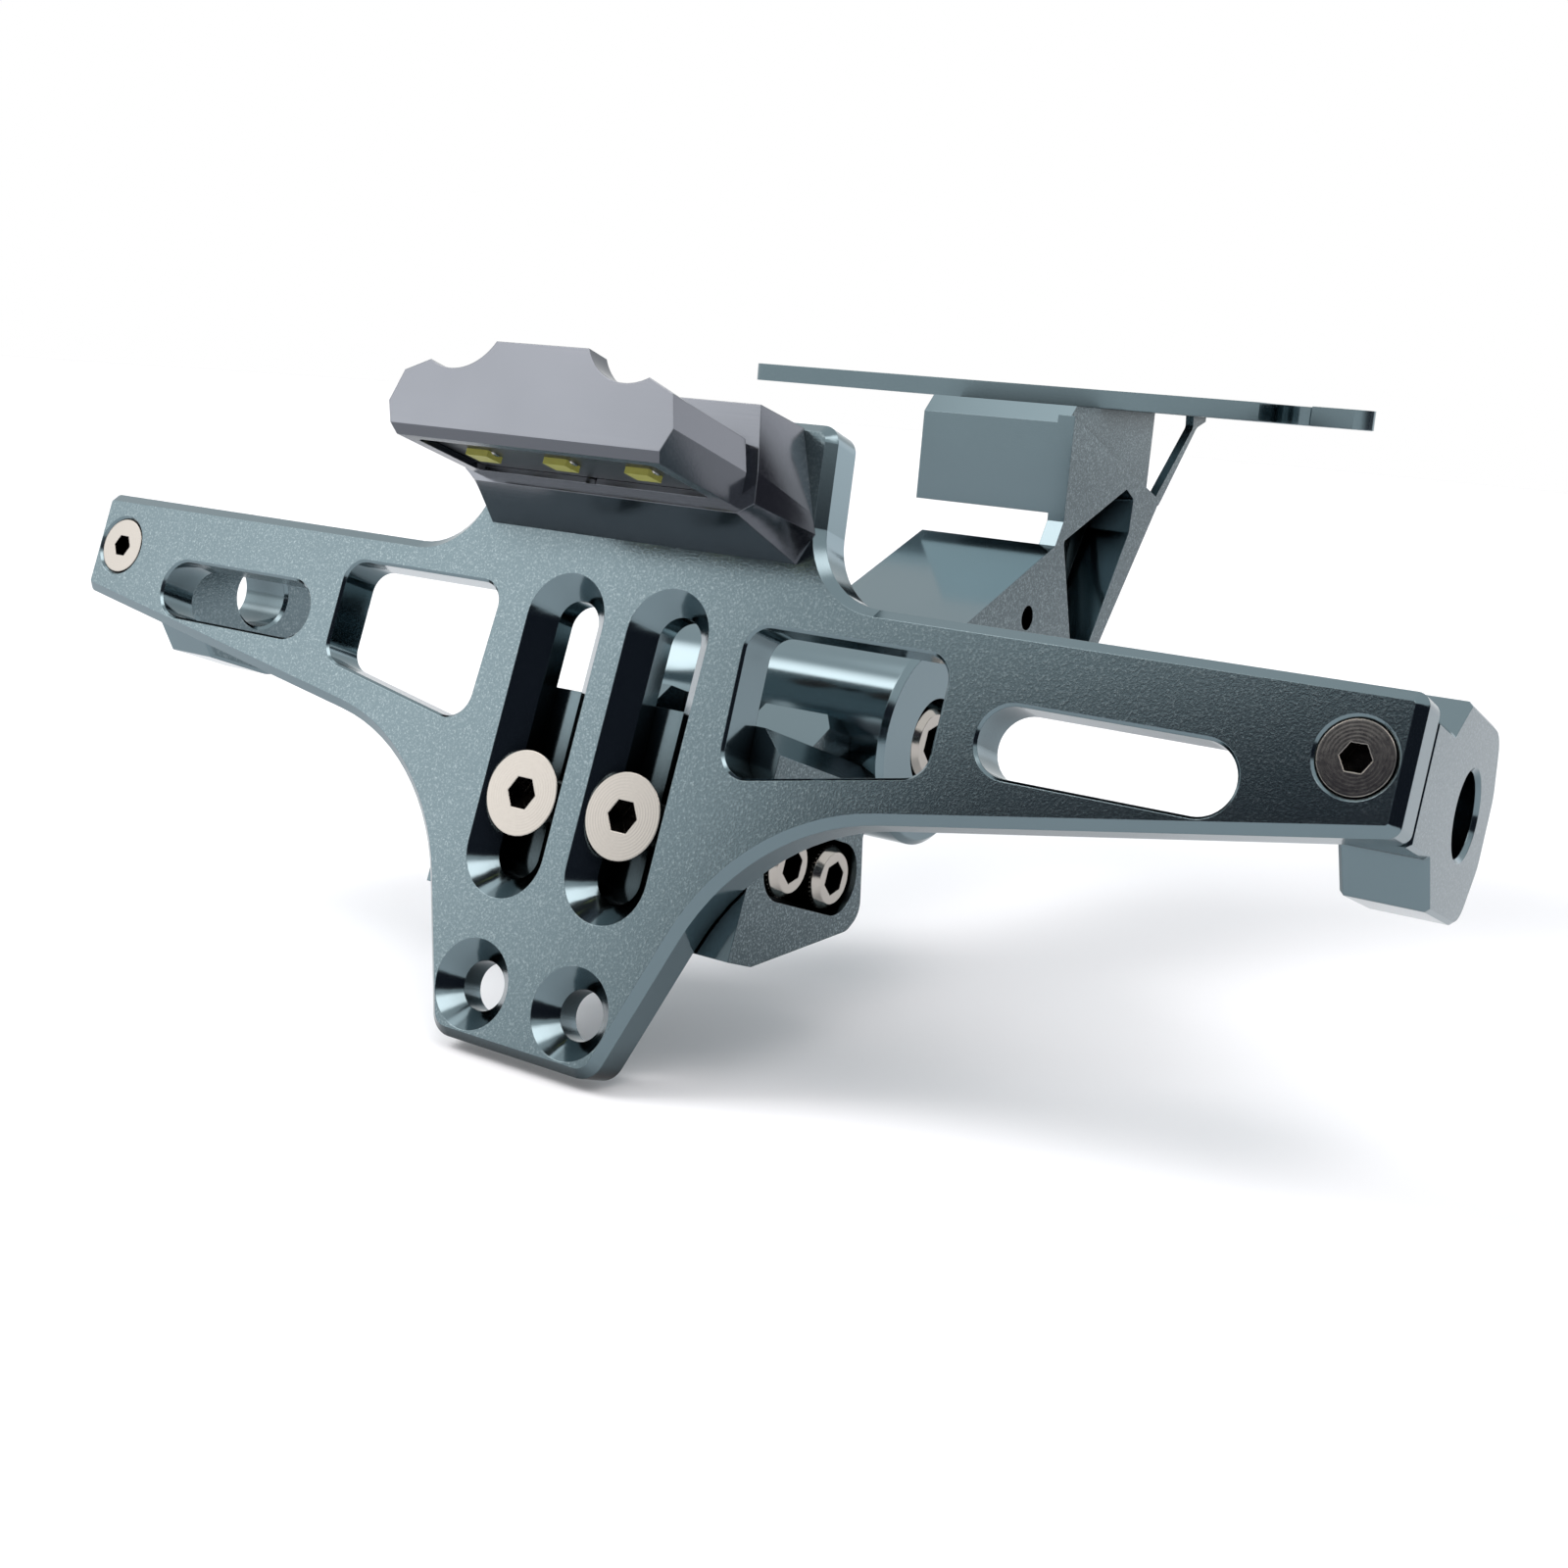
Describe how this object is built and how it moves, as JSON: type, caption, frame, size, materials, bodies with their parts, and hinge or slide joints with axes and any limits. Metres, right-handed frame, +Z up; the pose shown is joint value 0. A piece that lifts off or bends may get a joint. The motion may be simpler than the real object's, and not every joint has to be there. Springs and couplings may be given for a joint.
{
  "type": "tail tidy",
  "caption": "Milled aluminium number plate bracket for a motorbike: a slotted wing with a lamp hood and indicator ears, hinged on an arm under a mounting plate.",
  "frame": {"origin": "centre of the mount plate's top face, in the middle of its four fixing slots", "axes": "+X to the right seen from behind the bike, +Y forward along the bike, +Z up; the number plate side is at -Y"},
  "size_m": [0.2038, 0.1917, 0.0906],
  "materials": {
    "grey_anodised": "satin, bead blasted and anodised titanium grey",
    "black_anodised": "satin black anodised, with brushed faces",
    "stainless_steel": "satin",
    "dark_steel": "black oxide, satin",
    "circuit_board": "matt solder mask",
    "led": "clear resin over yellow phosphor"
  },
  "bodies": {
    "mount": {"mount_plate": "grey_anodised", "mount_screw_back_left": "stainless_steel", "mount_screw_back_right": "stainless_steel", "mount_screw_front_left": "stainless_steel", "mount_screw_front_right": "stainless_steel", "tail_arm": "grey_anodised"},
    "hinge": {"hinge_link": "grey_anodised", "pivot_bolt": "stainless_steel", "pivot_nut": "stainless_steel", "pivot_washer_left": "stainless_steel", "pivot_washer_right": "stainless_steel", "pivot_block": "grey_anodised", "clamp_screw_front": "stainless_steel", "clamp_screw_back": "stainless_steel", "clamp_nut_front": "stainless_steel", "clamp_nut_back": "stainless_steel", "bracket_screw_left": "stainless_steel", "bracket_screw_right": "stainless_steel"},
    "bracket": {"number_plate_bracket": "grey_anodised", "indicator_bracket_left": "grey_anodised", "indicator_bracket_right": "grey_anodised", "end_screw_left": "stainless_steel", "end_screw_right": "stainless_steel", "lamp_base": "black_anodised", "lamp_hood": "black_anodised", "lamp_board": "circuit_board", "led_left": "led", "led_middle": "led", "led_right": "led", "lamp_base_screw_left": "dark_steel", "lamp_base_screw_right": "dark_steel", "hood_screw_left": "dark_steel", "hood_screw_right": "dark_steel"}
  },
  "joints": [
    {"name": "plate_tilt", "type": "hinge", "parent": "mount", "child": "hinge", "pos_m": [0, -0.0994, -0.0509], "axis": [1, 0, 0], "range_deg": [-42, 60]},
    {"name": "plate_height", "type": "slide", "parent": "hinge", "child": "bracket", "axis": [0, 0.299, 0.9542], "range_m": [-0.0229, 0.0075]}
  ]
}
